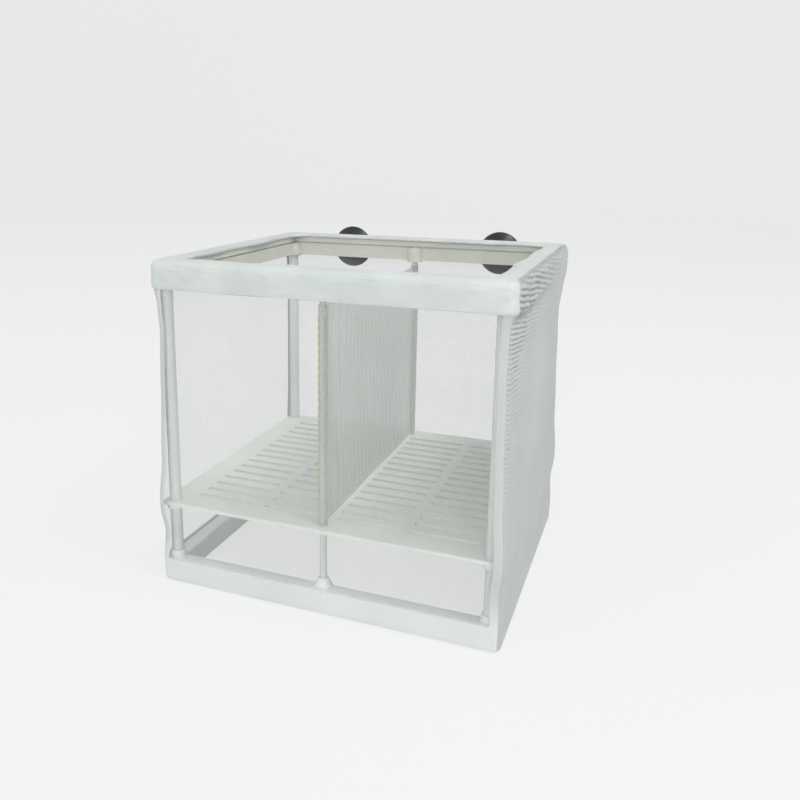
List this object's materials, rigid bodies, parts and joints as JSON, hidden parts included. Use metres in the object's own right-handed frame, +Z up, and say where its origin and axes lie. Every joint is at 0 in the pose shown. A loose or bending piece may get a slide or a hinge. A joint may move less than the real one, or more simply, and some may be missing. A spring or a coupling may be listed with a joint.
{
  "type": "fish breeding net",
  "caption": "Box-shaped breeding net for a fish tank: mesh cover on a plastic frame with an open top, a mesh divider, a slotted tray over a lower chamber and rear suction cups.",
  "frame": {"origin": "on the standing plane, under the middle of the whole object with its cups", "axes": "+X to the right seen from the front, +Y back towards the tank's glass, +Z up"},
  "size_m": [0.16, 0.152, 0.1535],
  "materials": {
    "frame": "smooth moulded, slightly warm white",
    "tray": "smooth moulded, pale grey-green",
    "net": "fine knitted mesh",
    "hem": "doubled fine mesh",
    "elastic": "covered elastic",
    "cup": "soft and slightly glossy"
  },
  "bodies": {
    "net_and_frame": {"top_ring": "frame", "bottom_ring": "frame", "tray": "tray", "lower_post_front_left": "frame", "lower_post_front_right": "frame", "lower_post_rear_left": "frame", "lower_post_rear_right": "frame", "upper_post_front_left": "frame", "upper_post_front_right": "frame", "upper_post_rear_left": "frame", "upper_post_rear_right": "frame", "lower_rod_front": "frame", "lower_rod_rear": "frame", "upper_rod_front": "frame", "upper_rod_rear": "frame", "net_front": "net", "net_rear": "net", "net_left": "net", "net_right": "net", "net_floor": "net", "top_hem": "hem", "hem_elastic": "elastic", "divider_net": "net"},
    "left_cup": {"suction_cup_left": "cup"},
    "right_cup": {"suction_cup_right": "cup"}
  },
  "joints": [
    {"name": "left_cup_spin", "type": "hinge", "parent": "net_and_frame", "child": "left_cup", "pos_m": [-0.043, 0.064, 0.1435], "axis": [0, 1, 0], "continuous": true},
    {"name": "right_cup_spin", "type": "hinge", "parent": "net_and_frame", "child": "right_cup", "pos_m": [0.043, 0.064, 0.1435], "axis": [0, 1, 0], "continuous": true}
  ]
}
